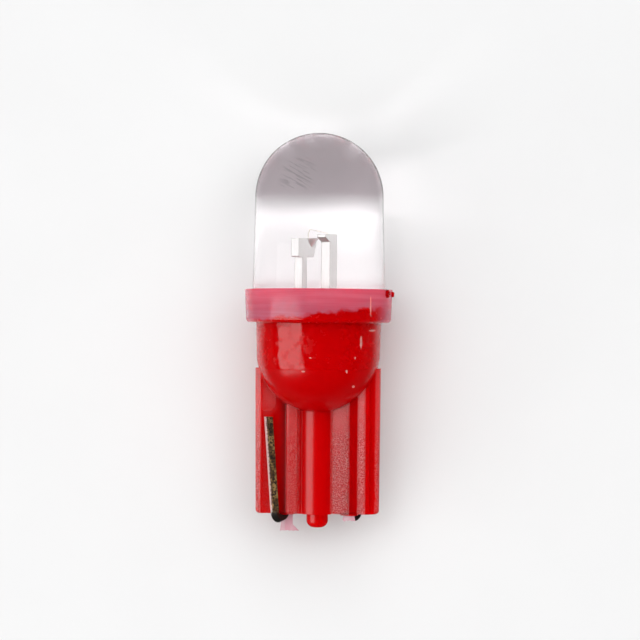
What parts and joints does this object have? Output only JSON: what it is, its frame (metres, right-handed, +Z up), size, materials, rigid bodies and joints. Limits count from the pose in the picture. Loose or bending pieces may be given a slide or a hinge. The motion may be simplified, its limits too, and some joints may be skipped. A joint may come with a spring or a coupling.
{
  "type": "wedge base led bulb",
  "caption": "Clear round LED in a red moulded wedge base: collar, round cup and ribbed flat blade, with contact wires folded up the blade's faces.",
  "frame": {"origin": "under the middle of the bulb's length, on the surface that it lies on", "axes": "+Y along the bulb's axis towards the dome, +Z up out of the front face of the blade, +X to the right of that face with the dome up"},
  "size_m": [0.0114, 0.0306, 0.0113],
  "materials": {
    "red_plastic": "gloss with spark-eroded frosted faces on the blade",
    "clear_epoxy": "clear and polished",
    "tinned_lead": "tinned, tarnished outside the base",
    "die_glue": "silver-filled glue",
    "die": "polished chip",
    "gold_wire": "bright",
    "ceramic_rod": "matt",
    "end_cap": "plated",
    "resistor_wire": "tinned, tarnished outside the base",
    "lacquer": "lacquer",
    "solder": "bright solder"
  },
  "bodies": {
    "root": {"wedge_base": "red_plastic", "led_lens": "clear_epoxy", "cathode_lead": "tinned_lead", "anode_lead": "tinned_lead", "die_attach": "die_glue", "led_die": "die", "bond_wire": "gold_wire", "resistor_core": "ceramic_rod", "resistor_cap_upper": "end_cap", "resistor_cap_lower": "end_cap", "resistor_wire_upper": "resistor_wire", "resistor_wire_lower": "resistor_wire", "resistor_coat": "lacquer", "solder_joint": "solder"}
  },
  "joints": []
}
